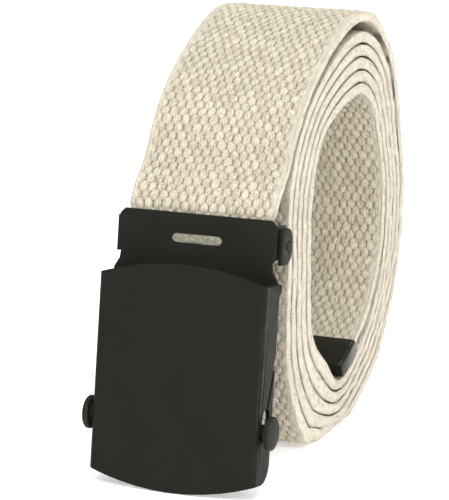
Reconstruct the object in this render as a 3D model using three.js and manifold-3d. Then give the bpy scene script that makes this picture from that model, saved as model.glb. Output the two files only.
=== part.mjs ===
// A canvas web belt, rolled into an upright oval coil with its black slide buckle at the front.
// Millimetres, +Z up, +X along the web's width, -Y towards the buckle's face.
import * as THREE from "three";
import { mergeVertices } from "three/addons/utils/BufferGeometryUtils.js";
import Module from "manifold-3d";

// The web
const WEB_WIDTH = 38;
const WEB_THICKNESS = 2.5;
const WEB_EDGE_ROUND = 0.7;

// The coil: how the web is wound
const COIL_TURNS = 5.706; // from the buckle to the mouth of the metal tip
const REFERENCE_TURN = 5; // the turn that starts on the table of sections below
const CORE_CENTRE_Z = 51.95; // height of the middle of the hole above the floor
const CORE_HALF_DEPTH = 26.7;
const CORE_HALF_HEIGHT = 35.7;
const WRAP_PITCH = 3.14; // from one turn to the next
const LOOSE_WRAP = 1.95; // how far the outer turn stands off at the top of the back
const LOOSE_FROM = 0.03; // in turns
const LOOSE_TO = 0.56;
const SIDE_CREEP = 0.3; // how far the inner turns stand out of the coil's right side
const TAIL_LIFT = 2.0; // the inner end rises off the turn under it
const TAIL_LIFT_FROM = 5.4; // in turns
const WRAP_STEPS = 48; // points on each turn
const WEB_STEPS = 340; // sections from one end of the web to the other
const JOIN_TURN = 0.1; // where the web from the buckle meets the coil
const JOIN_STEPS = 5; // points between the two
const STRAIGHT_STEP = 3; // between points behind the band

// One row for each 30 degrees of the coil, from the front over the top: the hole's outline as shares of
// its half depth and half height, and the wraps' pitch there as a share of WRAP_PITCH.
const CORE_SECTIONS = [
  { at: "front", depth: -1.042, height: -0.071, pitch: 1.01 },
  { at: "upper front", depth: -0.989, height: 0.451, pitch: 1.048 },
  { at: "front shoulder", depth: -0.616, height: 0.82, pitch: 0.89 },
  { at: "top", depth: 0.199, height: 0.976, pitch: 1.068 },
  { at: "back shoulder", depth: 0.672, height: 0.839, pitch: 1.019 },
  { at: "upper back", depth: 0.931, height: 0.442, pitch: 0.938 },
  { at: "back", depth: 1.06, height: 0.02, pitch: 0.97 },
  { at: "lower back", depth: 0.947, height: -0.441, pitch: 0.944 },
  { at: "back foot", depth: 0.547, height: -0.84, pitch: 0.946 },
  { at: "floor", depth: -0.163, height: -1.095, pitch: 0.88 },
  { at: "front foot", depth: -0.596, height: -0.905, pitch: 1.467 },
  { at: "lower front", depth: -0.981, height: -0.614, pitch: 1.181 },
];

// The metal tip on the inner end
const TIP_LENGTH = 11.1;
const TIP_SHEET = 0.5;
const TIP_CORNER = 0.6;
const TIP_TURN_UP = THREE.MathUtils.degToRad(6);

// The buckle: sheet, cover and where it hangs
const CLEARANCE = 0.3; // between pieces that touch on the real belt
const SHEET = 1.0;
const BUCKLE_PITCH = THREE.MathUtils.degToRad(9.4);
const BAND_AHEAD = 54.6; // the band's face stands this far in front of the coil's middle
const COVER_WIDTH = 43.9;
const COVER_SIDE = 48.35; // between the cover's corners
const COVER_TOP_BOW = 3.6;
const COVER_FOOT_BOW = 3.9;
const COVER_BELOW_BAND_TOP = 15.5; // from the band's top edge down to the cover's corners
const COVER_AHEAD = 7.8; // the cover's face in front of the band's face
const FLANGE_DEPTH = 9.3;
const FLANGE_HEEL_DEPTH = 10.5; // at its top end
const FLANGE_HEEL_HEIGHT = 3.0;
const FLANGE_CORNER = 5;
const FOLD_RADIUS = 1.5;

// The band, with its short base under the cover
const BAND_WIDTH = 41.3;
const BAND_HEIGHT = 9.6;
const BAND_CORNER = 1.3;
const NOTCH_WIDTH = 40.0;
const NOTCH_BELOW_BAND = 1.0;
const SHOULDER_WIDTH = 43.2;
const SHOULDER_LIP = 0.5; // its straight edge over the cover's corners
const FLARE_START = 0.25; // the flare from the notch to the shoulder begins this much wider
const FLARE_SHARE = 0.4; // and this share of the way down
const BASE_BELOW_CORNERS = 11;
const CHEEK_DEPTH = 7.8; // the side walls folded back from the band
const NAME_SLOT_LENGTH = 13.4;
const NAME_SLOT_HEIGHT = 2.5;
const NAME_SLOT_DOWN = 6.2;
const NAME_PLATE_GAP = 0.12;
const NAME_PLATE_RECESS = 0.25;

// The jaw that grips the web behind the band
const JAW_EAR_THICKNESS = 0.8;
const JAW_EAR_FRONT = 1.6; // behind the band's face
const JAW_EAR_REACH = 8.7;
const JAW_EAR_TOP = 1.9;
const JAW_EAR_HEIGHT = 8.9;
const JAW_EAR_ROUND = 3.4; // radius of its two rear corners
const JAW_PLATE_INSET = 1.7; // the plate ends this far inside the ears' ends
const JAW_PLATE_THICKNESS = 0.9;
const TOOTH_COUNT = 15;
const TOOTH_DEPTH = 0.6;
const PIVOT_DIAMETER = 2.0;
const PIVOT_BACK = 6.1; // behind the band's face
const PIVOT_DOWN = 6.3;
const PIVOT_PROUD = 0.2;
const WEB_END_DOWN = 16.0; // the web's cut end, below the band's top edge

// The bar that locks the free end, with a disc on each side
const BAR_DIAMETER = 4.0;
const BAR_TRAVEL = 3.6;
const BAR_DOWN = 35.4; // at rest, below the cover's corners
const BAR_BACK = 4.2; // behind the cover's face
const DISC_DIAMETER = 8.4;
const DISC_THICKNESS = 1.35;
const DISC_STAND_OFF = 1.3;
const DISC_EDGE = 0.3;
const SLOT_LEAN = THREE.MathUtils.degToRad(17); // its upper end lies further back
const SLIT_WIDTH = 1.2;
const SLIT_MOUTH_DOWN = 15.5; // where it meets the flange's rear edge, below the cover's corners
const CURVE_SEGMENTS = 10;
const PIN_SIDES = 16;
const DISC_SIDES = 28;
const PAST = 1; // a cut runs this far past the piece it cuts
const JOINED = 0.1; // joined parts of one piece run into each other by this much

const wasm = await Module();
wasm.setup();

// A closed three.js geometry as a solid that can be joined and cut.
function toSolid(geometry) {
  const bare = geometry.clone();
  bare.deleteAttribute("normal");
  bare.deleteAttribute("uv");
  const merged = mergeVertices(bare, 1e-4);
  const vertProperties = merged.attributes.position.array;
  const triVerts = new Uint32Array(merged.index.array);
  return new wasm.Manifold(new wasm.Mesh({ numProp: 3, vertProperties, triVerts }));
}

// The solid back as a three.js geometry.
function toGeometry(solid) {
  const mesh = solid.getMesh();
  const geometry = new THREE.BufferGeometry();
  geometry.setAttribute("position", new THREE.BufferAttribute(mesh.vertProperties, 3));
  geometry.setIndex(new THREE.BufferAttribute(mesh.triVerts, 1));
  geometry.computeVertexNormals();
  return geometry;
}

function shapeOf(points) {
  return new THREE.Shape(points.map(([a, b]) => new THREE.Vector2(a, b)));
}

function extruded(shape, depth) {
  return new THREE.ExtrudeGeometry(shape, { depth, bevelEnabled: false, curveSegments: CURVE_SEGMENTS });
}

// A shape drawn in Y and Z, run along X.
function alongX(shape, from, to) {
  const turn = new THREE.Matrix4().makeBasis(
    new THREE.Vector3(0, 1, 0),
    new THREE.Vector3(0, 0, 1),
    new THREE.Vector3(1, 0, 0),
  );
  return toSolid(extruded(shape, to - from).applyMatrix4(turn).translate(from, 0, 0));
}

// A shape drawn in X and Z, run along Y.
function alongY(shape, from, to) {
  const turn = new THREE.Matrix4().makeBasis(
    new THREE.Vector3(1, 0, 0),
    new THREE.Vector3(0, 0, 1),
    new THREE.Vector3(0, -1, 0),
  );
  return toSolid(extruded(shape, to - from).applyMatrix4(turn).translate(0, to, 0));
}

// A shape drawn in X and Y, run along Z.
function alongZ(shape, from, to) {
  return toSolid(extruded(shape, to - from).translate(0, 0, from));
}

// A rectangle with its corners cut off.
function chamferedRectangle(width, height, corner) {
  const w = width / 2;
  const h = height / 2;
  return shapeOf([
    [-w + corner, -h],
    [w - corner, -h],
    [w, -h + corner],
    [w, h - corner],
    [w - corner, h],
    [-w + corner, h],
    [-w, h - corner],
    [-w, -h + corner],
  ]);
}

// A slot with round ends between two points.
function slotShape(from, to, width) {
  const along = Math.atan2(to.y - from.y, to.x - from.x);
  const quarter = Math.PI / 2;
  const shape = new THREE.Shape();
  shape.absarc(to.x, to.y, width / 2, along - quarter, along + quarter, false);
  shape.absarc(from.x, from.y, width / 2, along + quarter, along + 3 * quarter, false);
  shape.closePath();
  return shape;
}

// The hole's outline: y, z, and in x the wraps' pitch there. It is closed, and t goes round it once.
const coreOutline = new THREE.CatmullRomCurve3(
  CORE_SECTIONS.map(
    (row) =>
      new THREE.Vector3(
        row.pitch * WRAP_PITCH,
        row.depth * CORE_HALF_DEPTH,
        CORE_CENTRE_Z + row.height * CORE_HALF_HEIGHT,
      ),
  ),
  true,
  "catmullrom",
  0.5,
);

// How far the outer turn stands off the coil, in millimetres.
function looseness(turn) {
  const share = (turn - LOOSE_FROM) / (LOOSE_TO - LOOSE_FROM);
  return share > 0 && share < 1 ? LOOSE_WRAP * Math.sin(Math.PI * share) ** 2 : 0;
}

// The middle of the web's thickness after so many turns. Each turn lies a pitch outside the next one.
function wrapPoint(turn) {
  const t = turn - Math.floor(turn);
  const at = coreOutline.getPoint(t);
  const tangent = coreOutline.getTangent(t);
  const out = new THREE.Vector3(0, -tangent.z, tangent.y).normalize();
  const lift = TAIL_LIFT * THREE.MathUtils.smoothstep(turn, TAIL_LIFT_FROM, COIL_TURNS);
  const offset = (REFERENCE_TURN - turn) * at.x + looseness(turn) - lift + WEB_THICKNESS / 2;
  const creep = (SIDE_CREEP * turn) / COIL_TURNS;
  return new THREE.Vector3(creep, at.y + out.y * offset, at.z + out.z * offset);
}

function wrapDirection(turn) {
  const step = 0.002;
  return wrapPoint(turn).sub(wrapPoint(turn - step)).setX(0).normalize();
}

// The buckle's own frame: x across, y back from the band's face, z up from the band's top edge.
// Its cover's lower edge touches the floor.
const coverFoot = COVER_BELOW_BAND_TOP + COVER_SIDE + COVER_FOOT_BOW;
const bandTop = new THREE.Vector3(
  0,
  -BAND_AHEAD,
  coverFoot * Math.cos(BUCKLE_PITCH) + (SHEET - COVER_AHEAD) * Math.sin(BUCKLE_PITCH),
);

function fromBuckle(x, back, down) {
  const point = new THREE.Vector3(x, back, -down);
  return point.applyAxisAngle(new THREE.Vector3(1, 0, 0), -BUCKLE_PITCH).add(bandTop);
}

// The web's route: up behind the band, back to the coil, round it, and straight into the tip.
const webBack = SHEET + CLEARANCE + WEB_THICKNESS / 2;
const tipMouth = wrapPoint(COIL_TURNS);
const tipDirection = wrapDirection(COIL_TURNS).applyAxisAngle(new THREE.Vector3(1, 0, 0), -TIP_TURN_UP);
const tipPocket = TIP_LENGTH - TIP_SHEET;

function webRoute() {
  const leave = fromBuckle(0, webBack, 1);
  const join = wrapPoint(JOIN_TURN);
  const reach = leave.distanceTo(join) / 3;
  const up = fromBuckle(0, webBack, 0).sub(leave).normalize();
  const link = new THREE.CubicBezierCurve3(
    leave,
    leave.clone().addScaledVector(up, reach),
    join.clone().addScaledVector(wrapDirection(JOIN_TURN), -reach),
    join,
  );
  const points = [];
  for (let down = WEB_END_DOWN; down > STRAIGHT_STEP / 2; down -= STRAIGHT_STEP) {
    points.push(fromBuckle(0, webBack, down));
  }
  points.push(...link.getPoints(JOIN_STEPS));
  const wraps = Math.round((COIL_TURNS - JOIN_TURN) * WRAP_STEPS);
  for (let i = 1; i <= wraps; i += 1) {
    points.push(wrapPoint(JOIN_TURN + ((COIL_TURNS - JOIN_TURN) * i) / wraps));
  }
  for (const share of [0.3, 0.65, 1]) {
    points.push(tipMouth.clone().addScaledVector(tipDirection, share * (tipPocket - CLEARANCE)));
  }
  return points;
}

// The web bends only across its width, so every section of it lies level along X. The lowest turn lies
// flat where it rests on the floor.
class LevelPath extends THREE.CatmullRomCurve3 {
  getPoint(t, target) {
    const point = super.getPoint(t, target);
    point.z = Math.max(point.z, WEB_THICKNESS / 2);
    return point;
  }

  computeFrenetFrames(segments) {
    const frames = { tangents: [], normals: [], binormals: [] };
    for (let i = 0; i <= segments; i += 1) {
      const tangent = this.getTangentAt(i / segments).setX(0).normalize();
      const normal = new THREE.Vector3(-1, 0, 0);
      frames.tangents.push(tangent);
      frames.normals.push(normal);
      frames.binormals.push(new THREE.Vector3().crossVectors(tangent, normal));
    }
    return frames;
  }
}

function webStrap() {
  const points = webRoute();
  const path = new LevelPath(points, false, "centripetal");
  path.arcLengthDivisions = points.length * 6;
  const section = chamferedRectangle(WEB_WIDTH, WEB_THICKNESS, WEB_EDGE_ROUND);
  return new THREE.ExtrudeGeometry(section, { steps: WEB_STEPS, extrudePath: path, bevelEnabled: false });
}

// The folded metal sleeve on the web's inner end, open at its mouth.
function beltTip() {
  const width = WEB_WIDTH + 2 * (CLEARANCE + TIP_SHEET);
  const thick = WEB_THICKNESS + 2 * (CLEARANCE + TIP_SHEET);
  const outside = alongZ(chamferedRectangle(width, thick, TIP_CORNER), 0, TIP_LENGTH);
  const inside = chamferedRectangle(width - 2 * TIP_SHEET, thick - 2 * TIP_SHEET, TIP_SHEET);
  return toGeometry(outside.subtract(alongZ(inside, -PAST, tipPocket)));
}

// The front cover: a channel folded from sheet, with bowed ends, and a slot and a slit in each side.
const coverFace = -COVER_AHEAD;
const barSlotWidth = BAR_DIAMETER + 2 * CLEARANCE;

function barPlace(travel) {
  return new THREE.Vector2(
    coverFace + BAR_BACK + travel * Math.sin(SLOT_LEAN),
    -(COVER_BELOW_BAND_TOP + BAR_DOWN) + travel * Math.cos(SLOT_LEAN),
  );
}

// The channel seen from above: its outline with rounded folds, as far back as the heel.
function channelShape() {
  const w = COVER_WIDTH / 2;
  const rear = coverFace + FLANGE_HEEL_DEPTH;
  const shape = new THREE.Shape();
  shape.moveTo(-w, rear);
  shape.lineTo(-w, coverFace + FOLD_RADIUS);
  shape.absarc(-w + FOLD_RADIUS, coverFace + FOLD_RADIUS, FOLD_RADIUS, Math.PI, 1.5 * Math.PI, false);
  shape.absarc(w - FOLD_RADIUS, coverFace + FOLD_RADIUS, FOLD_RADIUS, -0.5 * Math.PI, 0, false);
  shape.lineTo(w, rear);
  shape.lineTo(w - SHEET, rear);
  shape.absarc(w - FOLD_RADIUS, coverFace + FOLD_RADIUS, FOLD_RADIUS - SHEET, 0, -0.5 * Math.PI, true);
  shape.absarc(-w + FOLD_RADIUS, coverFace + FOLD_RADIUS, FOLD_RADIUS - SHEET, 1.5 * Math.PI, Math.PI, true);
  shape.lineTo(-w + SHEET, rear);
  shape.closePath();
  return shape;
}

// The cover seen from the front: straight sides and bowed ends.
function coverFrontShape() {
  const w = COVER_WIDTH / 2;
  const top = -COVER_BELOW_BAND_TOP;
  const foot = top - COVER_SIDE;
  const shape = new THREE.Shape();
  shape.moveTo(-w, foot);
  shape.quadraticCurveTo(0, foot - 2 * COVER_FOOT_BOW, w, foot);
  shape.lineTo(w, top);
  shape.quadraticCurveTo(0, top + 2 * COVER_TOP_BOW, -w, top);
  shape.closePath();
  return shape;
}

// The cover seen from the side: the flange's rear edge, its heel at the top and its rounded lower corner.
function coverSideShape() {
  const front = coverFace - PAST;
  const rear = coverFace + FLANGE_DEPTH;
  const heel = coverFace + FLANGE_HEEL_DEPTH;
  const top = -COVER_BELOW_BAND_TOP;
  const foot = top - COVER_SIDE;
  const shape = new THREE.Shape();
  shape.moveTo(front, foot - COVER_FOOT_BOW - PAST);
  shape.lineTo(coverFace + SHEET, foot - COVER_FOOT_BOW - PAST);
  shape.lineTo(coverFace + SHEET, foot);
  shape.lineTo(rear - FLANGE_CORNER, foot);
  shape.absarc(rear - FLANGE_CORNER, foot + FLANGE_CORNER, FLANGE_CORNER, -0.5 * Math.PI, 0, false);
  shape.lineTo(rear, top - FLANGE_HEEL_HEIGHT);
  shape.lineTo(heel, top - FLANGE_HEEL_HEIGHT + (heel - rear));
  shape.lineTo(heel, top + COVER_TOP_BOW + PAST);
  shape.lineTo(front, top + COVER_TOP_BOW + PAST);
  shape.closePath();
  return shape;
}

function faceCover() {
  const top = -COVER_BELOW_BAND_TOP;
  const foot = top - COVER_SIDE - COVER_FOOT_BOW - PAST;
  const w = COVER_WIDTH / 2 + PAST;
  const channel = alongZ(channelShape(), foot, top + COVER_TOP_BOW + PAST);
  const front = alongY(coverFrontShape(), coverFace - PAST, coverFace + FLANGE_HEEL_DEPTH + PAST);
  const side = alongX(coverSideShape(), -w, w);
  const slotTop = barPlace(BAR_TRAVEL);
  const barSlot = slotShape(barPlace(0), slotTop, barSlotWidth);
  const slitMouth = new THREE.Vector2(coverFace + FLANGE_DEPTH + PAST, top - SLIT_MOUTH_DOWN);
  const slit = slotShape(slotTop, slitMouth, SLIT_WIDTH);
  return toGeometry(
    channel.intersect(front).intersect(side).subtract(alongX(barSlot, -w, w)).subtract(alongX(slit, -w, w)),
  );
}

// The band and its base seen from the front, as one outline that is the same on both sides.
function bandFrontShape() {
  const notch = BAND_HEIGHT + NOTCH_BELOW_BAND;
  const shoulder = COVER_BELOW_BAND_TOP - CLEARANCE;
  const inside = COVER_WIDTH / 2 - SHEET - CLEARANCE;
  const base = COVER_BELOW_BAND_TOP + BASE_BELOW_CORNERS;
  const right = [
    [BAND_WIDTH / 2 - BAND_CORNER, 0],
    [BAND_WIDTH / 2, -BAND_CORNER],
    [BAND_WIDTH / 2, -BAND_HEIGHT],
    [NOTCH_WIDTH / 2, -notch],
    [NOTCH_WIDTH / 2 + FLARE_START, -notch - FLARE_SHARE * (shoulder - notch)],
    [SHOULDER_WIDTH / 2, -shoulder + SHOULDER_LIP],
    [SHOULDER_WIDTH / 2, -shoulder],
    [inside, -shoulder],
    [inside, -base],
  ];
  const left = right.map(([x, z]) => [-x, z]).reverse();
  return shapeOf([...right, ...left].reverse());
}

function nameSlot(gap) {
  const half = (NAME_SLOT_LENGTH - NAME_SLOT_HEIGHT) / 2;
  const from = new THREE.Vector2(-half, -NAME_SLOT_DOWN);
  const to = new THREE.Vector2(half, -NAME_SLOT_DOWN);
  return slotShape(from, to, NAME_SLOT_HEIGHT - 2 * gap);
}

function pivotHole() {
  const circle = new THREE.Shape();
  circle.absarc(PIVOT_BACK, -PIVOT_DOWN, PIVOT_DIAMETER / 2 + CLEARANCE, 0, 2 * Math.PI, false);
  return circle;
}

function bandFrame() {
  const outer = BAND_WIDTH / 2;
  const cheek = shapeOf([
    [SHEET / 2, -BAND_HEIGHT],
    [CHEEK_DEPTH - BAND_CORNER, -BAND_HEIGHT],
    [CHEEK_DEPTH, -BAND_HEIGHT + BAND_CORNER],
    [CHEEK_DEPTH, -2 * BAND_CORNER],
    [CHEEK_DEPTH - BAND_CORNER, -BAND_CORNER],
    [SHEET / 2, -BAND_CORNER],
  ]);
  const plate = alongY(bandFrontShape(), 0, SHEET);
  const cheeks = alongX(cheek, outer - SHEET, outer).add(alongX(cheek, -outer, SHEET - outer));
  const hole = alongX(pivotHole(), -outer - PAST, outer + PAST);
  return toGeometry(plate.add(cheeks).subtract(hole).subtract(alongY(nameSlot(0), -PAST, SHEET + PAST)));
}

function namePlate() {
  return toGeometry(alongY(nameSlot(NAME_PLATE_GAP), NAME_PLATE_RECESS, SHEET));
}

// The jaw: an ear outside each cheek, a plate behind the web, and a toothed lip that bites it.
const earInner = BAND_WIDTH / 2 + CLEARANCE;
const jawOuter = earInner + JAW_EAR_THICKNESS;
const jawPlateFront = CHEEK_DEPTH + CLEARANCE;

function earShape() {
  const top = -JAW_EAR_TOP;
  const foot = top - JAW_EAR_HEIGHT;
  const centre = JAW_EAR_REACH - JAW_EAR_ROUND;
  const shape = new THREE.Shape();
  shape.moveTo(JAW_EAR_FRONT, foot);
  shape.lineTo(centre, foot);
  shape.absarc(centre, foot + JAW_EAR_ROUND, JAW_EAR_ROUND, -0.5 * Math.PI, 0, false);
  shape.absarc(centre, top - JAW_EAR_ROUND, JAW_EAR_ROUND, 0, 0.5 * Math.PI, false);
  shape.lineTo(JAW_EAR_FRONT, top);
  shape.closePath();
  return shape;
}

// The lip's edge seen from above: a row of teeth that point at the web.
function toothedLip(halfWidth) {
  const valley = SHEET + WEB_THICKNESS + 2 * CLEARANCE + TOOTH_DEPTH;
  const step = (2 * halfWidth) / TOOTH_COUNT;
  const points = [[-halfWidth, valley]];
  for (let i = 0; i < TOOTH_COUNT; i += 1) {
    points.push([-halfWidth + (i + 0.5) * step, valley - TOOTH_DEPTH]);
    points.push([-halfWidth + (i + 1) * step, valley]);
  }
  points.push([halfWidth, jawPlateFront + JAW_PLATE_THICKNESS / 2]);
  points.push([-halfWidth, jawPlateFront + JAW_PLATE_THICKNESS / 2]);
  return shapeOf(points);
}

function clampJaw() {
  const top = -JAW_EAR_TOP - JAW_PLATE_INSET;
  const foot = -JAW_EAR_TOP - JAW_EAR_HEIGHT + JAW_PLATE_INSET;
  const plate = shapeOf([
    [jawPlateFront, foot],
    [jawPlateFront + JAW_PLATE_THICKNESS, foot],
    [jawPlateFront + JAW_PLATE_THICKNESS, top],
    [jawPlateFront, top],
  ]);
  const lip = toothedLip(BAND_WIDTH / 2 - SHEET - CLEARANCE);
  const ears = alongX(earShape(), earInner, jawOuter).add(alongX(earShape(), -jawOuter, -earInner));
  const bridge = alongX(plate, -earInner - JOINED, earInner + JOINED);
  const jaw = ears.add(bridge).add(alongZ(lip, foot, foot + SHEET));
  return toGeometry(jaw.subtract(alongX(pivotHole(), -jawOuter - PAST, jawOuter + PAST)));
}

function pivotPin() {
  const length = jawOuter + PIVOT_PROUD - (BAND_WIDTH / 2 - SHEET);
  const radius = PIVOT_DIAMETER / 2;
  return new THREE.CylinderGeometry(radius, radius, length, PIN_SIDES).rotateZ(Math.PI / 2);
}

// The locking bar and its two discs, turned as one piece.
function lockBar() {
  const inner = COVER_WIDTH / 2 + DISC_STAND_OFF;
  const outer = inner + DISC_THICKNESS;
  const rim = DISC_DIAMETER / 2;
  const half = [
    [BAR_DIAMETER / 2, inner],
    [rim - DISC_EDGE, inner],
    [rim, inner + DISC_EDGE],
    [rim, outer - DISC_EDGE],
    [rim - DISC_EDGE, outer],
    [0, outer],
  ];
  const mirrored = half.map(([r, h]) => [r, -h]).reverse();
  const profile = [...mirrored, ...half].map(([r, h]) => new THREE.Vector2(r, h));
  return new THREE.LatheGeometry(profile, DISC_SIDES).rotateZ(Math.PI / 2);
}

const canvas = new THREE.MeshStandardMaterial({
  color: 0xdcd3bd,
  roughness: 0.92,
  metalness: 0,
  flatShading: true,
});
const blackPaint = new THREE.MeshStandardMaterial({
  color: 0x2b2c28,
  roughness: 0.5,
  metalness: 0.4,
  flatShading: true,
});
const nickel = new THREE.MeshStandardMaterial({
  color: 0x918e7b,
  roughness: 0.35,
  metalness: 0.9,
  flatShading: true,
});

function piece(name, geometry, material) {
  const mesh = new THREE.Mesh(geometry, material.clone());
  mesh.name = name;
  return mesh;
}

const strap = piece("web_strap", webStrap(), canvas);
const tip = piece("belt_tip", beltTip(), blackPaint);
tip.position.copy(tipMouth);
tip.quaternion.setFromUnitVectors(new THREE.Vector3(0, 0, 1), tipDirection);

const buckle = new THREE.Group();
buckle.position.copy(bandTop);
buckle.rotation.x = -BUCKLE_PITCH;
buckle.add(piece("band_frame", bandFrame(), blackPaint));
buckle.add(piece("name_plate_blank", namePlate(), nickel));
buckle.add(piece("clamp_jaw", clampJaw(), blackPaint));
buckle.add(piece("face_cover", faceCover(), blackPaint));

for (const [name, side] of [
  ["clamp_pivot_left", -1],
  ["clamp_pivot_right", 1],
]) {
  const pin = piece(name, pivotPin(), blackPaint);
  const middle = (jawOuter + PIVOT_PROUD + BAND_WIDTH / 2 - SHEET) / 2;
  pin.position.set(side * middle, PIVOT_BACK, -PIVOT_DOWN);
  buckle.add(pin);
}

const bar = piece("lock_bar", lockBar(), blackPaint);
const barRest = barPlace(0);
bar.position.set(0, barRest.x, barRest.y);
buckle.add(bar);

// The belt stands on z = 0, and its own frame is at the middle of its footprint.
const belt = new THREE.Group();
belt.add(strap, tip, buckle);
belt.updateMatrixWorld(true);
const extent = new THREE.Box3().setFromObject(belt, true);
belt.position.set(0, -(extent.min.y + extent.max.y) / 2, -extent.min.z);

const part = new THREE.Group();
part.add(belt);

export default part;
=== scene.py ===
# %% [markdown]
# # A canvas web belt, rolled into a coil
# This lesson dresses a imported CAD model of a belt. The model is loaded as a fixed frame, so that every
# new surface is placed by the same numbers as the solids. The dressed belt must not outgrow it.

# %% Load the frame
import math

import bmesh
import bpy
import numpy as np
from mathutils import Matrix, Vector


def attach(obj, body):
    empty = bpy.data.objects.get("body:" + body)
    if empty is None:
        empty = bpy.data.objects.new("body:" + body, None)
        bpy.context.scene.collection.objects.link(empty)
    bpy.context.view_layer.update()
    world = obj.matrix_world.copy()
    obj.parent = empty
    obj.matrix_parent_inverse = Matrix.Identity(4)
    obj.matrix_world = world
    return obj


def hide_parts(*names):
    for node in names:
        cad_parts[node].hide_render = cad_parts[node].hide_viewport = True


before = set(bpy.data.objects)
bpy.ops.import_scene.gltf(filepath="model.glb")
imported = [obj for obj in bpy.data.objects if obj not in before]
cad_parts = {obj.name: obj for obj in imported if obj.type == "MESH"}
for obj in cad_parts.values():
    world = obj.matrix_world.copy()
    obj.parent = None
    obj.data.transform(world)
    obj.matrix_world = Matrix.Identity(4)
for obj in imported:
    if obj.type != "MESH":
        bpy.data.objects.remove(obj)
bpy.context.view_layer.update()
print("nodes", sorted(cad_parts))

# %% [markdown]
# ## The camera
# The photograph was taken with a long lens from the right of the buckle and a little above it. The place
# was found by fitting the buckle's corners, the web's edges and the coil's outline. A camera that looks
# at a point needs only its direction and distance, and a small shift moves the picture sideways.

# %% Camera
COIL_MIDDLE_Y = 14.325  # the coil's middle in the belt's own frame, in millimetres
AZIMUTH = math.radians(22.04)
ELEVATION = math.radians(14.06)
DISTANCE = 0.7
PHOTO_SIZE = (449, 500)
LOOK_PIXEL_X = 243.86
FOCAL_PIXELS = 2750
look_at = Vector((0, COIL_MIDDLE_Y - 24.85, 49.81)) / 1000
towards_camera = Vector((
    math.sin(AZIMUTH) * math.cos(ELEVATION),
    -math.cos(AZIMUTH) * math.cos(ELEVATION),
    math.sin(ELEVATION),
))
camera_data = bpy.data.cameras.new("camera")
camera_data.sensor_width = 36
camera_data.lens = FOCAL_PIXELS * camera_data.sensor_width / PHOTO_SIZE[1]
camera_data.shift_x = (PHOTO_SIZE[0] / 2 - LOOK_PIXEL_X) / PHOTO_SIZE[1]
camera_data.clip_start = 0.05
camera = bpy.data.objects.new("camera", camera_data)
camera.location = look_at + DISTANCE * towards_camera
camera.rotation_euler = (-towards_camera).to_track_quat("-Z", "Y").to_euler()
bpy.context.collection.objects.link(camera)
bpy.context.scene.camera = camera
bpy.context.scene.view_settings.view_transform = "Standard"
print("lens", round(camera_data.lens, 1), "shift", round(camera_data.shift_x, 4))

# %% [markdown]
# ## Nodes in a few words
# A material is a small graph. These helpers add a node, set its values and join its inputs in one call,
# so that a recipe reads like a list. A maths node takes numbers or other nodes' outputs.


# %% Node helpers
def node(tree, kind, inputs=None, **settings):
    """Adds a node. A value that is a socket is linked, and any other value is set."""
    made = tree.nodes.new(kind)
    for name, value in settings.items():
        setattr(made, name, value)
    for key, value in (inputs or {}).items():
        if isinstance(value, bpy.types.NodeSocket):
            tree.links.new(value, made.inputs[key])
        else:
            made.inputs[key].default_value = value
    return made


def maths(tree, operation, *values):
    return node(tree, "ShaderNodeMath", dict(enumerate(values)), operation=operation).outputs[0]


def blended(tree, share, low, high):
    """The colour between low and high, by share."""
    made = node(tree, "ShaderNodeMix", {0: share, 6: low, 7: high}, data_type="RGBA")
    return made.outputs[2]


def between(tree, value, low, high, to_low=0.0, to_high=1.0):
    """Value, moved from the range low..high to the range to_low..to_high, and held inside it."""
    inputs = {"Value": value, "From Min": low, "From Max": high, "To Min": to_low, "To Max": to_high}
    return node(tree, "ShaderNodeMapRange", inputs).outputs[0]


def noise(tree, place, scale, detail=3.0):
    inputs = {"Vector": place, "Scale": scale, "Detail": detail, "Roughness": 0.6}
    return node(tree, "ShaderNodeTexNoise", inputs).outputs["Fac"]


def new_group(name, inputs, outputs):
    """A node group with named inputs and outputs. Each input is (name, socket type, default)."""
    group = bpy.data.node_groups.new(name, "ShaderNodeTree")
    for label, kind, default in inputs:
        socket = group.interface.new_socket(label, in_out="INPUT", socket_type=kind)
        if default is not None:
            socket.default_value = default
    for label, kind in outputs:
        group.interface.new_socket(label, in_out="OUTPUT", socket_type=kind)
    return group, group.nodes.new("NodeGroupInput").outputs, group.nodes.new("NodeGroupOutput").inputs


def placed(tree, group, inputs):
    """The outputs of a group node, placed with its own values."""
    made = tree.nodes.new("ShaderNodeGroup")
    made.node_tree = group
    for key, value in inputs.items():
        if isinstance(value, bpy.types.NodeSocket):
            tree.links.new(value, made.inputs[key])
        else:
            made.inputs[key].default_value = value
    return made.outputs


# %% [markdown]
# ## The weave's measure
# Heavy cotton web is woven so that its face is covered with small round pillows, each the length of one
# float of the warp. They lie in rows across the web, and every second row is moved by half a pillow. The
# same two lattices are used twice: by the mesh, for the relief, and by the material, for the dark pits,
# which are painted shade.

# %% Weave measures
PILLOW_ACROSS = 2.45  # millimetres from one pillow to the next across the web
PILLOW_ALONG = 2.15  # and from one row to the next
PILLOW_HALF_WIDTH = 1.2
PILLOW_HALF_LENGTH = 1.55


def pillow_height(along, across):
    """The weave's height, 0 in the pits to 1 on a pillow's crown. Each of two lattices gives the dome
    sqrt(1 - d squared) of the nearest pillow, where d is the distance from its middle in pillow radii,
    and the higher of the two shows."""
    height = np.zeros(np.broadcast(along, across).shape)
    for shift in (0.0, 0.5):
        side = np.mod(across / PILLOW_ACROSS + shift, 1) - 0.5
        side = side * PILLOW_ACROSS / PILLOW_HALF_WIDTH
        row = np.mod(along / (2 * PILLOW_ALONG) + shift, 1) - 0.5
        row = row * 2 * PILLOW_ALONG / PILLOW_HALF_LENGTH
        height = np.maximum(height, np.sqrt(np.clip(1 - side**2 - row**2, 0, 1)))
    return height


print("pillows across the web", round(38 / PILLOW_ACROSS, 1))

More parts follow.
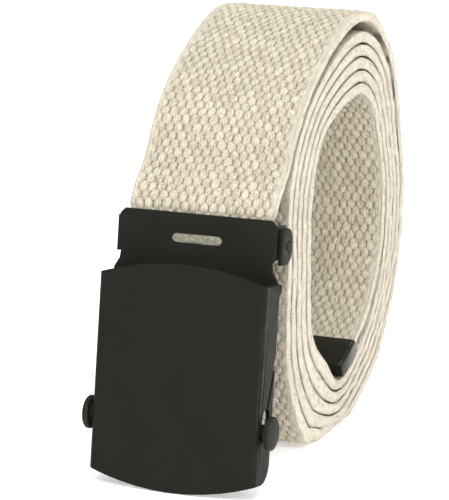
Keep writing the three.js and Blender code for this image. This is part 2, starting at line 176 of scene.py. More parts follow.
# %% [markdown]
# ## The way the web takes
# The web comes up behind the buckle's band, leans back to the coil and goes round it almost six times,
# from the outer turn to the inner end in its metal tip. The hole's outline is a closed Catmull-Rom curve
# through twelve sections. A turn lies as far outside that outline as the turns between them need.

# %% Route
WEB_WIDTH = 38
WEB_THICKNESS = 2.5
COIL_TURNS = 5.706
REFERENCE_TURN = 5
CORE_MIDDLE_Z = 51.95
CORE_HALF_DEPTH = 26.7
CORE_HALF_HEIGHT = 35.7
WRAP_PITCH = 3.14
LOOSE_WRAP = 1.95
LOOSE_FROM = 0.03
LOOSE_TO = 0.56
SIDE_CREEP = 0.3
TAIL_LIFT = 2.0
TAIL_LIFT_FROM = 5.4
JOIN_TURN = 0.1
TIP_LENGTH = 11.1
TIP_SHEET = 0.5
TIP_TURN_UP = math.radians(6)
CLEARANCE = 0.3

# From the front over the top: depth and height as shares of the halves, and the pitch's share.
core_sections = np.array([
    (-1.042, -0.071, 1.01),
    (-0.989, 0.451, 1.048),
    (-0.616, 0.82, 0.89),
    (0.199, 0.976, 1.068),
    (0.672, 0.839, 1.019),
    (0.931, 0.442, 0.938),
    (1.06, 0.02, 0.97),
    (0.947, -0.441, 0.944),
    (0.547, -0.84, 0.946),
    (-0.163, -1.095, 0.88),
    (-0.596, -0.905, 1.467),
    (-0.981, -0.614, 1.181),
])


def core_outline(turn):
    """The hole's outline: y, z and pitch after so many turns, as the uniform Catmull-Rom curve that
    weighs four neighbouring sections by cubes of the way between the middle two."""
    size = len(core_sections)
    scaled = core_sections * (CORE_HALF_DEPTH, CORE_HALF_HEIGHT, WRAP_PITCH) + (0, CORE_MIDDLE_Z, 0)
    place = np.mod(turn, 1) * size
    first = np.floor(place).astype(int)
    w = (place - first)[:, None]
    p0, p1, p2, p3 = (scaled[(first + k) % size] for k in (-1, 0, 1, 2))
    bend = (2 * p0 - 5 * p1 + 4 * p2 - p3) * w**2 + (3 * p1 - 3 * p2 + p3 - p0) * w**3
    return 0.5 * (2 * p1 + (p2 - p0) * w + bend)


def unit(vectors):
    return vectors / np.linalg.norm(vectors, axis=-1, keepdims=True)


def wrap_points(turn):
    """The middle of the web's thickness after so many turns: the hole's outline, moved outwards by the
    turns still to come, by the outer turn's looseness, and back by the lift of the inner end."""
    at = core_outline(turn)
    step = 1e-4
    tangent = unit((core_outline(turn + step) - core_outline(turn - step))[:, :2])
    out = np.stack([-tangent[:, 1], tangent[:, 0]], 1)
    share = np.clip((turn - LOOSE_FROM) / (LOOSE_TO - LOOSE_FROM), 0, 1)
    loose = LOOSE_WRAP * np.sin(math.pi * share) ** 2
    rise = np.clip((turn - TAIL_LIFT_FROM) / (COIL_TURNS - TAIL_LIFT_FROM), 0, 1)
    lift = TAIL_LIFT * rise * rise * (3 - 2 * rise)
    offset = (REFERENCE_TURN - turn) * at[:, 2] + loose - lift + WEB_THICKNESS / 2
    yz = at[:, :2] + out * offset[:, None]
    yz[:, 1] = np.maximum(yz[:, 1], WEB_THICKNESS / 2)
    return np.column_stack([SIDE_CREEP * turn / COIL_TURNS, yz[:, 0] + COIL_MIDDLE_Y, yz[:, 1]])


# %% [markdown]
# The buckle leans back by a few degrees. Its own frame starts at the band's top edge, and the web runs
# straight up behind its sheet before it bends back to the coil along a Bezier curve.

# %% Buckle frame and whole route
BUCKLE_PITCH = math.radians(9.4)
BAND_AHEAD = 54.6
COVER_BELOW_BAND_TOP = 15.5
COVER_SIDE = 48.35
COVER_FOOT_BOW = 3.9
COVER_AHEAD = 7.8
SHEET = 1.0
WEB_END_DOWN = 16
WEB_BACK = SHEET + CLEARANCE + WEB_THICKNESS / 2
cover_foot = COVER_BELOW_BAND_TOP + COVER_SIDE + COVER_FOOT_BOW
band_top = np.array([
    0,
    COIL_MIDDLE_Y - BAND_AHEAD,
    cover_foot * math.cos(BUCKLE_PITCH) + (SHEET - COVER_AHEAD) * math.sin(BUCKLE_PITCH),
])
across_axis = np.array([1.0, 0, 0])
back_axis = np.array([0, math.cos(BUCKLE_PITCH), -math.sin(BUCKLE_PITCH)])
up_axis = np.array([0, math.sin(BUCKLE_PITCH), math.cos(BUCKLE_PITCH)])


def from_buckle(x, back, down):
    """A place in the buckle's frame, in the belt's frame: across, back and down along its own axes."""
    x, back, down = (np.asarray(value, float)[..., None] for value in (x, back, down))
    return band_top + x * across_axis + back * back_axis - down * up_axis


straight = from_buckle(0, WEB_BACK, np.linspace(WEB_END_DOWN, 1, 40))
join = wrap_points(np.array([JOIN_TURN - 0.002, JOIN_TURN]))
reach = np.linalg.norm(join[1] - straight[-1]) / 3
first_handle = straight[-1] + up_axis * reach
last_handle = join[1] - unit(join[1] - join[0]) * reach
handles = [straight[-1], first_handle, last_handle, join[1]]
t = np.linspace(0, 1, 60)[1:-1, None]
link = sum(math.comb(3, k) * (1 - t) ** (3 - k) * t**k * handles[k] for k in range(4))
turns = np.linspace(JOIN_TURN, COIL_TURNS, 3000)
wraps = wrap_points(turns)
heading = unit(wraps[-1] - wraps[-2])
cos_up, sin_up = math.cos(-TIP_TURN_UP), math.sin(-TIP_TURN_UP)
tip_direction = np.array([
    0,
    heading[1] * cos_up - heading[2] * sin_up,
    heading[1] * sin_up + heading[2] * cos_up,
])
tip_mouth = wraps[-1]
tail = tip_mouth + np.linspace(0, 1, 12)[1:, None] * (TIP_LENGTH - TIP_SHEET - CLEARANCE) * tip_direction
route = np.concatenate([straight, link, wraps, tail])
route_length = np.concatenate([[0], np.cumsum(np.linalg.norm(np.diff(route, axis=0), axis=1))])
turn_length = route_length[len(straight) + len(link) :][: len(turns)]
WEB_LENGTH = route_length[-1]
print("web length", round(WEB_LENGTH), "mm")


def at_length(length):
    """Places on the route at these lengths from the web's cut end, with the outward directions."""
    def place(s):
        return np.stack([np.interp(s, route_length, route[:, k]) for k in range(3)], 1)

    half = 1.2
    ahead = place(np.minimum(length + half, WEB_LENGTH)) - place(np.maximum(length - half, 0))
    ahead[:, 0] = 0
    tangent = unit(ahead)
    outward = np.stack([0 * length, -tangent[:, 2], tangent[:, 1]], 1)
    at = place(length)
    after, before = place(np.minimum(length + 0.5, WEB_LENGTH)), place(np.maximum(length - 0.5, 0))
    smooth = (after + 2 * at + before) / 4
    smooth[:, 0] = at[:, 0]
    inside = (length > 1) & (length < WEB_LENGTH - 1)
    return np.where(inside[:, None], smooth, at), outward


# %% [markdown]
# ## The web as one surface
# The web is one closed strip. Its section goes round a flat rectangle with rounded rims, and the mesh
# carries that section along the route. The relief needs a fine grid, so it is fine only where it is
# seen: on the outer face of the outer turn and on the inner face of the inner turn. The hidden turns
# between them have a coarse grid, and a row of larger faces joins the two.

# %% Section and relief
FINE = 64  # columns across a face that is seen
COARSE = 10  # and across a hidden one, where 7 fine steps make 1 coarse step
RIM_COLUMNS = 7
RIM_LENGTH = WEB_THICKNESS
SELVEDGE = 1.3
RELIEF = 0.6
PERIMETER = 2 * (WEB_WIDTH + RIM_LENGTH)
RIM_BULGE = 0.35
RIM_CREASE = 0.12  # depth of the crease along a rim
RIM_LUMPS = 0.28  # how far its lumps stand out sideways
RIM_LUMP_HEIGHT = 0.16  # and towards the next turn
TUCK_LENGTH = 17  # the cut end is a little narrower, so that it hides behind the band
TUCK_FADE = 4
TUCK_SHARE = 0.075
OUTER_TURN_THICKNESS = 3.2  # the most that the loose outer turn may swell
THICKEST = 4.6  # the widest pitch, at the front foot
THICKENS_FROM, THICKENS_TO = 0.65, 0.75  # turns between which the first limit gives way to the second


def soft_noise(along, across, cell, seed):
    """Smooth noise between -1 and 1: random heights on a lattice of cells, blended by smoothstep."""
    heights = np.random.default_rng(seed).uniform(-1, 1, (257, 61))
    along, across = np.broadcast_arrays(along / cell, across / cell)
    i, j = np.floor(along).astype(int), np.floor(across).astype(int)
    a, b = along - i, across - j
    a, b = a * a * (3 - 2 * a), b * b * (3 - 2 * b)
    corner = [heights[(i + k) % 257, (j + m) % 61] for k in (0, 1) for m in (0, 1)]
    return (corner[0] * (1 - b) + corner[1] * b) * (1 - a) + (corner[2] * (1 - b) + corner[3] * b) * a


def edge_distance(around):
    """How far a place on the section is from the nearer rim: below zero on the rim itself."""
    on_face = np.mod(around, WEB_WIDTH + RIM_LENGTH)
    return np.minimum(on_face, WEB_WIDTH - on_face)


def weave_place(along, around):
    """Where a point lies in the weave: its own place, pushed by up to half a millimetre, as the pillows
    of real web are not quite in line. Beside the rims the push fades out."""
    hold = np.clip(edge_distance(around) / 3, 0, 1)
    push = 0.35 * soft_noise(along, around, 2.6, 3) + 0.5 * soft_noise(along, around, 9.0, 4)
    side_push = 0.22 * soft_noise(along, around, 2.3, 5) + 0.3 * soft_noise(along, around, 7.0, 6)
    return along + hold * push, around + hold * side_push


def section_columns(outer_columns, inner_columns):
    """Distances round the section, from the left edge of the outer face: face, rim, face, rim."""
    outer = np.linspace(0, WEB_WIDTH, outer_columns)
    inner = np.linspace(0, WEB_WIDTH, inner_columns) + WEB_WIDTH + RIM_LENGTH
    rim = np.linspace(0, RIM_LENGTH, RIM_COLUMNS + 2)[1:-1]
    return np.concatenate([outer, rim + WEB_WIDTH, inner, rim + 2 * WEB_WIDTH + RIM_LENGTH])


def section_place(around, along, half_thick):
    """Sideways and outward offsets of the section, with the weave's relief. On a face the height is half
    the thickness less the pits' depth. A rim is a flattened half ellipse with a crease along it."""
    sideways = np.zeros(np.broadcast(around, along).shape)
    outward = np.zeros_like(sideways)
    half_width = WEB_WIDTH / 2
    lumps = soft_noise(along, around, 3.1, 8) + 0.7 * soft_noise(along, around, 1.3, 9)
    weave = pillow_height(*weave_place(along, around))
    edge = np.clip(edge_distance(around) / SELVEDGE, 0, 1)
    pits = edge * (1 - weave) + (1 - edge) * (0.25 + 0.25 * (1 - edge))
    for side, start in ((1, 0), (-1, WEB_WIDTH + RIM_LENGTH)):
        here = (around >= start) & (around <= start + WEB_WIDTH)
        height = half_thick + 0.05 * lumps - RELIEF * pits
        sideways = np.where(here, side * (around - start - half_width), sideways)
        outward = np.where(here, side * height, outward)
        rim_here = (around > start + WEB_WIDTH) & (around < start + WEB_WIDTH + RIM_LENGTH)
        angle = math.pi * np.clip((around - start - WEB_WIDTH) / RIM_LENGTH, 0, 1)
        bulge = RIM_BULGE * np.sin(angle) ** 0.4 + RIM_LUMPS * lumps * np.sin(angle)
        bulge = bulge - RIM_CREASE * np.exp(-(((angle - math.pi / 2) / 0.35) ** 2))
        rim_height = (half_thick - 0.35 * RELIEF) * np.sign(np.cos(angle)) * np.abs(np.cos(angle)) ** 0.5
        sideways = np.where(rim_here, side * (half_width + bulge - 0.15), sideways)
        rim_height = rim_height + RIM_LUMP_HEIGHT * lumps * np.abs(np.cos(angle))
        outward = np.where(rim_here, side * rim_height, outward)
    tucked = 1 - TUCK_SHARE * np.clip((TUCK_LENGTH - along) / TUCK_FADE, 0, 1)
    return sideways * tucked, outward


def half_thickness(lengths):
    """Half the web's thickness. The CAD solid keeps 2.5 mm and leaves gaps, but the photograph's turns
    touch, so here each turn is as thick as the pitch, from 2.7 mm to 4.6 mm at the front foot."""
    turn = np.interp(lengths, turn_length, turns)
    widest = np.interp(turn, [THICKENS_FROM, THICKENS_TO], [OUTER_TURN_THICKNESS, THICKEST])
    thick = np.clip(core_outline(turn)[:, 2], WEB_THICKNESS - 0.05, widest)
    on_coil = np.clip((lengths - turn_length[0]) / 12, 0, 1)
    into_tip = np.clip((turn_length[-1] - lengths) / 12, 0, 1)
    return (WEB_THICKNESS + (thick - WEB_THICKNESS) * on_coil * into_tip) / 2


def strip(lengths, columns):
    """Vertices of one zone: every section offset, laid on the route's point and directions."""
    middle, out = at_length(lengths)
    half_thick = half_thickness(lengths)[:, None]
    sideways, outward = section_place(columns[None, :], lengths[:, None], half_thick)
    points = middle[:, None, :] + sideways[..., None] * across_axis
    points = points + outward[..., None] * out[:, None, :]
    points[..., 2] = np.maximum(points[..., 2], 0.0)
    return points


# %% [markdown]
# Each zone is a grid of quads that closes round the section. Its texture coordinates are lengths, along
# the web and round the section, pushed in the same way as the relief so that both stay together. The
# last column is given the whole way round, not zero, so that the pattern does not run backwards there.

# %% Zones into one mesh
FINE_STEP = 0.7
COARSE_STEP = 1.5


def length_at_turn(turn):
    return float(np.interp(turn, turns, turn_length))


zone_a = np.arange(0, length_at_turn(1.06), FINE_STEP)
zone_c = WEB_LENGTH - np.arange(0, WEB_LENGTH - length_at_turn(4.62), FINE_STEP)[::-1]
zone_b = np.linspace(zone_a[-1] + 1.5, zone_c[0] - 1.5, int((zone_c[0] - zone_a[-1]) / COARSE_STEP))
zones = [
    (zone_a, section_columns(FINE, COARSE)),
    (zone_b, section_columns(COARSE, COARSE)),
    (zone_c, section_columns(COARSE, FINE)),
]


def grid_faces(rows, columns, start):
    """Quads of a grid that closes round the section: one row apart and one column apart."""
    row, column = np.meshgrid(np.arange(rows - 1), np.arange(columns), indexing="ij")
    following = (column + 1) % columns
    corners = [row * columns + column, row * columns + following]
    corners += [(row + 1) * columns + following, (row + 1) * columns + column]
    return np.stack(corners, -1).reshape(-1, 4) + start


def joining_faces(fine_ring, fine_around, coarse_ring, coarse_around, fine_first):
    """Larger faces between a fine ring and a coarse one: each coarse step with the fine steps in it."""
    size = len(coarse_ring)
    faces = []
    for k in range(size):
        low = coarse_around[k]
        high = coarse_around[k + 1] if k + 1 < size else PERIMETER
        inside = [i for i, a in enumerate(fine_around) if low - 1e-6 <= a <= high + 1e-6]
        fine = [fine_ring[i] for i in inside] + ([fine_ring[0]] if k + 1 == size else [])
        coarse = [coarse_ring[k], coarse_ring[(k + 1) % size]]
        face = fine + coarse[::-1]
        faces.append(face if fine_first else face[::-1])
    return faces


points, alongs, arounds, faces, starts = [], [], [], [], []
count = 0
for lengths, columns in zones:
    vertices = strip(lengths, columns)
    points.append(vertices.reshape(-1, 3))
    alongs.append(np.repeat(lengths, len(columns)))
    arounds.append(np.tile(columns, len(lengths)))
    faces += grid_faces(len(lengths), len(columns), count).tolist()
    starts.append((count, len(lengths), len(columns)))
    count += vertices.shape[0] * vertices.shape[1]


def ring(zone, row):
    start, rows, columns = starts[zone]
    return list(range(start + (row % rows) * columns, start + (row % rows) * columns + columns))


faces += joining_faces(ring(0, -1), zones[0][1], ring(1, 0), zones[1][1], True)
faces += joining_faces(ring(2, 0), zones[2][1], ring(1, -1), zones[1][1], False)
faces.append(ring(0, 0)[::-1])
faces.append(ring(2, -1))
points = np.concatenate(points)
alongs, arounds = np.concatenate(alongs), np.concatenate(arounds)
print("web vertices", len(points), "faces", len(faces))


# %% Mesh object helper
def mesh_object(name, vertices, polygons, smooth=True):
    """A mesh object at the origin from vertices in millimetres."""
    mesh = bpy.data.meshes.new(name)
    mesh.from_pydata((np.asarray(vertices) / 1000).tolist(), [], polygons)
    mesh.polygons.foreach_set("use_smooth", np.full(len(mesh.polygons), smooth))
    mesh.update()
    made = bpy.data.objects.new(name, mesh)
    bpy.context.collection.objects.link(made)
    return made


def add_web_map(mesh, along, around):
    """The map named web: lengths along and round, in metres, pushed as the weave is. A face that closes
    the section goes the whole way round."""
    corner = np.empty(len(mesh.loops), int)
    mesh.loops.foreach_get("vertex_index", corner)
    first, total = np.empty(len(mesh.polygons), int), np.empty(len(mesh.polygons), int)
    mesh.polygons.foreach_get("loop_start", first)
    mesh.polygons.foreach_get("loop_total", total)
    face_of = np.repeat(np.arange(len(first)), total)
    u, v = along[corner], around[corner].copy()
    highest = np.zeros(len(first))
    np.maximum.at(highest, face_of, v)
    closing = (highest[face_of] > PERIMETER - RIM_LENGTH) & (v < 1e-6) & (total[face_of] < 30)
    v[closing] = PERIMETER
    u, v = weave_place(u, v)
    layer = mesh.uv_layers.new(name="web")
    layer.data.foreach_set("uv", np.column_stack([u, v]).ravel() / 1000)


strap = mesh_object("web_belt_strap", points, faces)
add_web_map(strap.data, alongs, arounds)
strap.data.calc_loop_triangles()
print("web triangles", len(strap.data.loop_triangles))
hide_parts("web_strap")
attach(strap, "belt")

# %% [markdown]
# ## The cotton
# The web is undyed cotton: cream on the pillows, with threads that run along each pillow and a little
# fuzz over all. The brown in the pits and the darker sides of the pillows are painted shade, and the
# paler rims are a painted highlight. The weave group repeats the mesh's two lattices from the web map, so
# the painted shade of the pits lies exactly in the mesh's hollows.

# %% Weave group
weave_group, given, put = new_group(
    "staggered_weave",
    [("Vector", "NodeSocketVector", None), ("Across", "NodeSocketFloat", PILLOW_ACROSS),
     ("Along", "NodeSocketFloat", PILLOW_ALONG), ("Half width", "NodeSocketFloat", PILLOW_HALF_WIDTH),
     ("Half length", "NodeSocketFloat", PILLOW_HALF_LENGTH)],
    [("Height", "NodeSocketFloat"), ("Pillow", "NodeSocketFloat")],
)
tree = weave_group
parts = node(tree, "ShaderNodeSeparateXYZ", {0: given["Vector"]}).outputs
heights, cells = [], []
for shift in (0.0, 0.5):
    column = maths(tree, "ADD", maths(tree, "DIVIDE", parts[1], given["Across"]), shift)
    two_rows = maths(tree, "MULTIPLY", given["Along"], 2.0)
    row = maths(tree, "ADD", maths(tree, "DIVIDE", parts[0], two_rows), shift)
    side = maths(tree, "SUBTRACT", maths(tree, "FRACT", column), 0.5)
    side = maths(tree, "MULTIPLY", side, given["Across"])
    side = maths(tree, "DIVIDE", side, given["Half width"])
    rise = maths(tree, "SUBTRACT", maths(tree, "FRACT", row), 0.5)
    rise = maths(tree, "MULTIPLY", rise, given["Along"])
    rise = maths(tree, "DIVIDE", maths(tree, "MULTIPLY", rise, 2.0), given["Half length"])
    side_squared, rise_squared = (maths(tree, "MULTIPLY", part, part) for part in (side, rise))
    squares = maths(tree, "ADD", side_squared, rise_squared)
    dome = maths(tree, "SQRT", maths(tree, "MAXIMUM", maths(tree, "SUBTRACT", 1.0, squares), 0.0))
    heights.append(dome)
    place = node(tree, "ShaderNodeCombineXYZ", {
        0: maths(tree, "FLOOR", row), 1: maths(tree, "FLOOR", column), 2: shift})
    cells.append(node(tree, "ShaderNodeTexWhiteNoise", {"Vector": place.outputs[0]}).outputs["Value"])
tree.links.new(maths(tree, "MAXIMUM", *heights), put["Height"])
nearer = maths(tree, "GREATER_THAN", heights[1], heights[0])
pick = node(tree, "ShaderNodeMix", {0: nearer, 2: cells[0], 3: cells[1]}, data_type="FLOAT")
tree.links.new(pick.outputs[0], put["Pillow"])

# %% Cotton material
CREAM = (0.94, 0.86, 0.68, 1)
CREAM_DEEP = (0.52, 0.445, 0.315, 1)
# painted shade on the sides of the pillows; random dark flecks of the yarn share this colour
SLOPE_SHADE_AND_FLECKS = (0.40, 0.325, 0.215, 1)
# painted shade in the pits of the weave
PIT_SHADE = (0.15, 0.108, 0.06, 1)
# a painted highlight on the rims, for the light from the side
RIM_HIGHLIGHT = (0.90, 0.83, 0.67, 1)


def new_material(name):
    material = bpy.data.materials.new(name)
    material.use_nodes = True
    return material, material.node_tree, material.node_tree.nodes["Principled BSDF"]


cotton, tree, surface = new_material("undyed_cotton_web")
web_map = node(tree, "ShaderNodeUVMap", uv_map="web").outputs[0]
to_mm = {0: web_map, 1: (1000, 1000, 1000)}
mm = node(tree, "ShaderNodeVectorMath", to_mm, operation="MULTIPLY").outputs[0]
weave = placed(tree, weave_group, {"Vector": mm})
parts = node(tree, "ShaderNodeSeparateXYZ", {0: mm}).outputs
face_and_rim = WEB_WIDTH + RIM_LENGTH
on_face = maths(tree, "FRACT", maths(tree, "DIVIDE", parts[1], face_and_rim))
on_face = maths(tree, "MULTIPLY", on_face, face_and_rim)
edge = maths(tree, "MINIMUM", on_face, maths(tree, "SUBTRACT", WEB_WIDTH, on_face))
selvedge = between(tree, edge, 1.7, 0.7)
fine = noise(tree, mm, 2.6, 5.0)
patch = noise(tree, mm, 0.11, 3.0)
stretch = {0: mm, 1: (0.45, 2.4, 1.0)}  # long along the web and narrow across it, as threads lie
stretched = node(tree, "ShaderNodeVectorMath", stretch, operation="MULTIPLY").outputs[0]
threads = noise(tree, stretched, 1.0, 4.0)
cord_height = between(tree, threads, 0.3, 0.5, 0.58, 1.0)
face_or_rim = {0: selvedge, 2: weave["Height"], 3: cord_height}
height = node(tree, "ShaderNodeMix", face_or_rim, data_type="FLOAT").outputs[0]
ragged = maths(tree, "MULTIPLY", maths(tree, "SUBTRACT", fine, 0.46), 1.2)
height = maths(tree, "ADD", height, ragged)
# Painted shade: the sides of each pillow darken as they fall from its crown.
slope_shade = between(tree, height, 0.92, 0.3)
slope_shade = maths(tree, "MULTIPLY", slope_shade, between(tree, fine, 0.3, 0.6, 0.35, 1.0))
# Painted shade: the pits darken where the weave is lowest.
pit_shade_mask = maths(tree, "MULTIPLY", between(tree, height, 0.4, 0.05), between(tree, fine, 0.3, 0.55, 0.5, 1.0))
shade = maths(tree, "ADD", maths(tree, "MULTIPLY", weave["Pillow"], 0.12), threads)
shade = maths(tree, "ADD", shade, maths(tree, "MULTIPLY", fine, 0.8))
colour = blended(tree, between(tree, shade, 0.78, 1.04), CREAM_DEEP, CREAM)
# Painted highlight: the rims are painted paler.
rim_highlight_mask = maths(tree, "MULTIPLY", selvedge, between(tree, fine, 0.25, 0.6))
colour = blended(tree, rim_highlight_mask, colour, RIM_HIGHLIGHT)
colour = blended(tree, between(tree, patch, 0.42, 0.75, 0.0, 0.3), colour, (0.60, 0.53, 0.42, 1))
# Flecks are random dark specks of the yarn, mixed in with the painted shade of the slopes.
flecks = between(tree, noise(tree, mm, 1.5, 6.0), 0.58, 0.7, 0.0, 0.6)
colour = blended(tree, maths(tree, "MAXIMUM", slope_shade, flecks), colour, SLOPE_SHADE_AND_FLECKS)
colour = blended(tree, pit_shade_mask, colour, PIT_SHADE)
tree.links.new(colour, surface.inputs["Base Color"])
relief = maths(tree, "ADD", maths(tree, "MULTIPLY", height, 0.9), maths(tree, "MULTIPLY", threads, 0.5))
relief = maths(tree, "ADD", relief, maths(tree, "MULTIPLY", fine, 0.55))
bump = node(tree, "ShaderNodeBump", {"Height": relief, "Distance": 0.0007, "Strength": 1.0})
tree.links.new(bump.outputs[0], surface.inputs["Normal"])
tree.links.new(between(tree, fine, 0.2, 0.8, 0.82, 0.98), surface.inputs["Roughness"])
surface.inputs["Sheen Weight"].default_value = 0.25
surface.inputs["Specular IOR Level"].default_value = 0.25
strap.data.materials.append(cotton)

# %% [markdown]
# ## The metal's edges
# Stamped sheet has soft edges, and light on those edges is what makes it look like metal. The CAD solids
# are sharp, so each is copied, its loose triangles are merged and joined into flat faces, and its edges
# get a small bevel. The new mesh marks its bevels with the face attribute bend, for the paint's wear and
# for a painted highlight along the edges.
# It is built from the vertices and faces in order of place, because these steps leave them in another
# order on each run. It takes over nothing else. The CAD mesh also carries shading normals of its own, and
# after these steps they no longer fitted the cover's faces.


# %% Mesh in a fixed order
def ordered_mesh(name, form, bend):
    """A mesh of form's vertices and faces, sorted by place, with the face attribute bend."""
    vertices = sorted(form.verts, key=lambda vertex: tuple(round(value, 8) for value in vertex.co))
    number = {vertex: index for index, vertex in enumerate(vertices)}
    polygons = []
    for face in form.faces:
        corners = [number[vertex] for vertex in face.verts]
        first = corners.index(min(corners))
        polygons.append((corners[first:] + corners[:first], face[bend]))
    polygons.sort()
    mesh = bpy.data.meshes.new(name)
    places = [tuple(vertex.co) for vertex in vertices]
    mesh.from_pydata(places, [], [corners for corners, _ in polygons])
    layer = mesh.attributes.new("bend", "FLOAT", "FACE")
    layer.data.foreach_set("value", [value for _, value in polygons])
    mesh.update()
    return mesh


# %% Softened metal
FOLD_WIDTH = 1.2  # millimetres, for the two rounded folds of the cover


def softened(name, source, width, segments=2, body="belt", fold=0.0):
    """A copy of a CAD solid with bevelled edges. Bend is 1 on the bevels and 0 elsewhere. The cover's
    two long front edges are folds of the sheet. They are rounded first, by fold, and have bend 0.8."""
    form = bmesh.new()
    form.from_mesh(bpy.data.objects[source].data)
    bmesh.ops.remove_doubles(form, verts=form.verts, dist=2e-6)
    bmesh.ops.dissolve_limit(form, angle_limit=math.radians(0.5), verts=form.verts, edges=form.edges)
    bend = form.faces.layers.float.new("bend")
    if fold:
        def ahead(vertex):
            return float((np.array(vertex.co) * 1000 - band_top) @ back_axis)

        folds = [e for e in form.edges if e.calc_length() > 0.03
                 and all(abs(v.co.x) > 0.0215 and ahead(v) < -6 for v in e.verts)]
        print("folds", len(folds))
        made = bmesh.ops.bevel(form, geom=folds, offset=fold / 1000, segments=5, profile=0.5,
                               affect="EDGES")
        # Bend 0.8 puts the lighter bend colour on the folds: a painted highlight as well as wear.
        for face in made["faces"]:
            face[bend] = 0.8
    sharp = [e for e in form.edges if len(e.link_faces) == 2 and e.calc_face_angle(0) > math.radians(30)]
    made = bmesh.ops.bevel(form, geom=sharp, offset=width / 1000, segments=segments, profile=0.5,
                           affect="EDGES", clamp_overlap=True)
    for face in made["faces"]:
        face[bend] = 1
    bmesh.ops.triangulate(form, faces=[f for f in form.faces if len(f.verts) > 4])
    mesh = ordered_mesh(name, form, bend)
    form.free()
    made = bpy.data.objects.new(name, mesh)
    bpy.context.collection.objects.link(made)
    mesh.polygons.foreach_set("use_smooth", np.full(len(mesh.polygons), True))
    mesh.set_sharp_from_angle(angle=math.radians(32))
    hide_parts(source)
    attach(made, body)
    print(name, "faces", len(mesh.polygons))
    return made


metal = {
    source: softened(name, source, width, segments, body,
                     FOLD_WIDTH if source == "face_cover" else 0.0)
    for name, source, width, segments, slot, body in [
        ("buckle_cover", "face_cover", 0.14, 2, "black_paint", "belt"),
        ("buckle_band", "band_frame", 0.14, 2, "black_paint", "belt"),
        ("slot_inlay", "name_plate_blank", 0.12, 2, "nickel", "belt"),
        ("jaw", "clamp_jaw", 0.1, 2, "black_paint", "belt"),
        ("pivot_left", "clamp_pivot_left", 0.15, 2, "black_paint", "belt"),
        ("pivot_right", "clamp_pivot_right", 0.15, 2, "black_paint", "belt"),
        ("locking_bar", "lock_bar", 0.12, 2, "black_paint", "bar"),
        ("tip_sleeve", "belt_tip", 0.14, 2, "black_paint", "belt"),
    ]
}

# %% [markdown]
# ## Black paint
# The buckle is sheet steel under satin black paint. The paint is slightly uneven. On the bends a lighter
# colour stands both for thin paint with faint rubs on a handled belt and for a painted highlight. One
# group gives that mask, and the material adds its own colours. The photograph's cover darkens toward its
# foot.
# That was taken for light and not paint, so the paint here is the same at every height.

# %% Wear group
wear_and_highlight_group, given, put = new_group(
    "edge_wear_and_highlight",
    [("Vector", "NodeSocketVector", None), ("Bend", "NodeSocketFloat", 0.0),
     ("Amount", "NodeSocketFloat", 0.5), ("Mottle scale", "NodeSocketFloat", 120.0)],
    [("Mask", "NodeSocketFloat"), ("Mottle", "NodeSocketFloat"), ("Grain", "NodeSocketFloat")],
)
coarse = noise(wear_and_highlight_group, given["Vector"], 260.0, 4.0)
mottle = noise(wear_and_highlight_group, given["Vector"], given["Mottle scale"], 3.0)
grain = noise(wear_and_highlight_group, given["Vector"], 2600.0, 2.0)
# On the bends the mask stands for thin paint and rubs, and also for a painted highlight.
wear_and_highlight_mask = maths(wear_and_highlight_group, "MULTIPLY", given["Bend"], between(wear_and_highlight_group, coarse, 0.42, 0.66))
wear_and_highlight_group.links.new(maths(wear_and_highlight_group, "MULTIPLY", wear_and_highlight_mask, given["Amount"]), put["Mask"])
wear_and_highlight_group.links.new(mottle, put["Mottle"])
wear_and_highlight_group.links.new(grain, put["Grain"])


# %% Black paint material
def painted(name, base, lighter, wear_and_highlight_colour, rough, amount, gloss, mottle_scale=120.0, lumps=0.0):
    material, tree, surface = new_material(name)
    place = node(tree, "ShaderNodeTexCoord").outputs["Object"]
    bend = node(tree, "ShaderNodeAttribute", attribute_name="bend").outputs["Fac"]
    wear_and_highlight = placed(tree, wear_and_highlight_group, {
        "Vector": place, "Bend": bend, "Amount": amount, "Mottle scale": mottle_scale})
    colour = blended(tree, between(tree, wear_and_highlight["Mottle"], 0.35, 0.7), base, lighter)
    # The bends get a lighter colour: partly wear, partly a painted highlight.
    colour = blended(tree, wear_and_highlight["Mask"], colour, wear_and_highlight_colour)
    tree.links.new(colour, surface.inputs["Base Color"])
    roughness = between(tree, wear_and_highlight["Mottle"], 0.3, 0.7, rough - 0.04, rough + 0.06)
    tree.links.new(roughness, surface.inputs["Roughness"])
    relief = maths(tree, "ADD", wear_and_highlight["Grain"], maths(tree, "MULTIPLY", wear_and_highlight["Mottle"], lumps))
    bump = node(tree, "ShaderNodeBump", {"Height": relief, "Distance": 0.00001, "Strength": 0.5})
    tree.links.new(bump.outputs[0], surface.inputs["Normal"])
    surface.inputs["Specular IOR Level"].default_value = gloss
    return material, surface


satin_black, surface = painted(
    "satin_black_paint", base=(0.0148, 0.0156, 0.0123, 1), lighter=(0.0164, 0.0172, 0.0137, 1),
    wear_and_highlight_colour=(0.11, 0.108, 0.094, 1), rough=0.4, amount=0.5, gloss=0.035)
gloss_black, surface = painted(
    "gloss_black_tip", base=(0.011, 0.011, 0.009, 1), lighter=(0.016, 0.0155, 0.013, 1),
    wear_and_highlight_colour=(0.12, 0.11, 0.09, 1), rough=0.22, amount=0.4, gloss=0.12)
dull_nickel, surface = painted(
    "dull_nickel_inlay", base=(0.22, 0.21, 0.155, 1), lighter=(0.42, 0.4, 0.31, 1),
    wear_and_highlight_colour=(0.5, 0.49, 0.42, 1), rough=0.45, amount=0.3, gloss=0.5, mottle_scale=900.0, lumps=60.0)
surface.inputs["Metallic"].default_value = 0.6
for source, made in metal.items():
    made.data.materials.clear()
    finish = {"name_plate_blank": dull_nickel, "belt_tip": gloss_black}.get(source, satin_black)
    made.data.materials.append(finish)

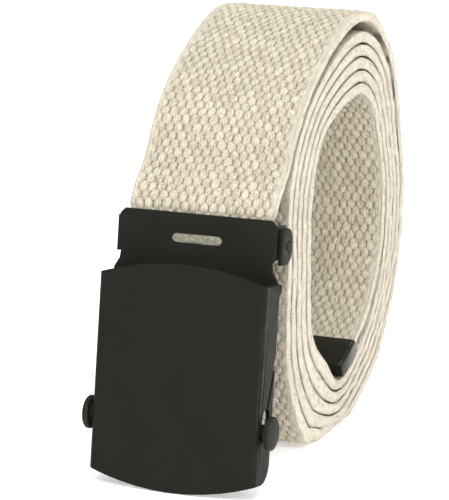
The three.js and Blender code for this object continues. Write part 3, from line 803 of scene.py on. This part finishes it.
# %% [markdown]
# ## Floor and light
# The photograph is a cut-out on white, so the floor is white and glows a little. Soft lamps stand above
# and at both sides: the one on the right lights the coil's side, and a small near one in front and above
# lights the buckle and the hole of the coil.

# %% Stage
floor_material, tree, surface = new_material("pale_floor")
surface.inputs["Base Color"].default_value = (0.95, 0.95, 0.95, 1)
surface.inputs["Roughness"].default_value = 0.9
surface.inputs["Emission Color"].default_value = (1, 1, 1, 1)
surface.inputs["Emission Strength"].default_value = 0.36
FAR = 3000  # millimetres from the middle to the floor's edges
floor_corners = [(-FAR, -FAR, 0), (FAR, -FAR, 0), (FAR, FAR, 0), (-FAR, FAR, 0)]
floor = mesh_object("floor", floor_corners, [(0, 1, 2, 3)])
floor.data.materials.append(floor_material)

world = bpy.data.worlds.new("studio")
bpy.context.scene.world = world
world.use_nodes = True
sky = world.node_tree
direction = node(sky, "ShaderNodeTexCoord").outputs["Generated"]
height_in_sky = node(sky, "ShaderNodeSeparateXYZ", {0: direction}).outputs[2]
tone = blended(sky, between(sky, height_in_sky, 0.0, 0.55), (0.24, 0.24, 0.24, 1), (0.8, 0.8, 0.8, 1))
sky.links.new(tone, sky.nodes["Background"].inputs["Color"])


def lamp(name, place, aim, size, power, colour=(1, 1, 1)):
    data = bpy.data.lights.new(name, "AREA")
    data.shape = "RECTANGLE"
    data.size, data.size_y = size
    data.energy = power
    data.color = colour
    made = bpy.data.objects.new(name, data)
    made.location = place
    made.rotation_euler = (Vector(aim) - Vector(place)).to_track_quat("-Z", "Y").to_euler()
    bpy.context.collection.objects.link(made)
    return made


lamp("top", (0.1, -0.1, 1.0), (0, 0, 0.05), (0.8, 0.8), 6.0)
lamp("front", (0.16, -0.36, 0.36), (0, -0.03, 0.08), (0.16, 0.12), 0.62)
lamp("right", (0.9, -0.35, 0.45), (0, 0, 0.05), (0.5, 0.6), 3.4)
lamp("left", (-0.7, -0.6, 0.5), (0, 0, 0.05), (0.4, 0.6), 1.2)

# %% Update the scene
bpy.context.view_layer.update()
